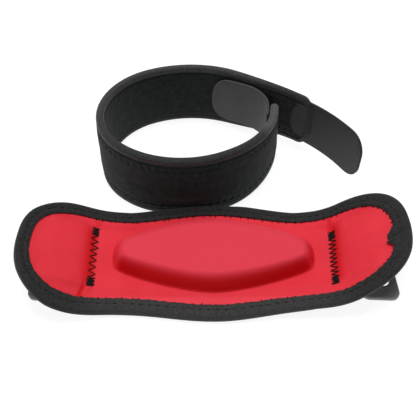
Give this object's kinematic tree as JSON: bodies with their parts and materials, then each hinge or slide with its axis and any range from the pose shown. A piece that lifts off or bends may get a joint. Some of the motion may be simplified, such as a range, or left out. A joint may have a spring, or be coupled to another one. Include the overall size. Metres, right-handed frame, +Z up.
{
  "type": "elbow brace",
  "caption": "Forearm elbow brace: a red-lined pad with a raised pressure cushion, dark bound edge and strap rings, with its loose hook-and-loop strap standing as an open loop behind it.",
  "frame": {"origin": "middle of the footprint, on the surface that the pad and the strap rest on", "axes": "+X along the pad, +Y from the pad towards the strap loop, +Z up"},
  "size_m": [0.2, 0.1624, 0.0412],
  "materials": {
    "lining_cloth": "soft brushed knit",
    "cushion_foam": "soft foam",
    "shell_cloth": "matte knit",
    "pad_tape": "matte elastic tape",
    "strap_pile": "fuzzy loop pile",
    "strap_tape": "matte elastic tape",
    "hook_tape": "fine moulded hooks",
    "ring_plastic": "satin moulded plastic",
    "tab_cloth": "flat woven webbing"
  },
  "bodies": {
    "root": {"pad_lining": "lining_cloth", "pressure_pad": "cushion_foam", "pad_shell": "shell_cloth", "pad_binding": "pad_tape", "strap_band": "strap_pile", "strap_binding": "strap_tape", "hook_tab_inner": "hook_tape", "hook_tab_outer": "hook_tape", "ring_left": "ring_plastic", "ring_right": "ring_plastic", "ring_tab_left": "tab_cloth", "ring_tab_right": "tab_cloth"}
  },
  "joints": []
}
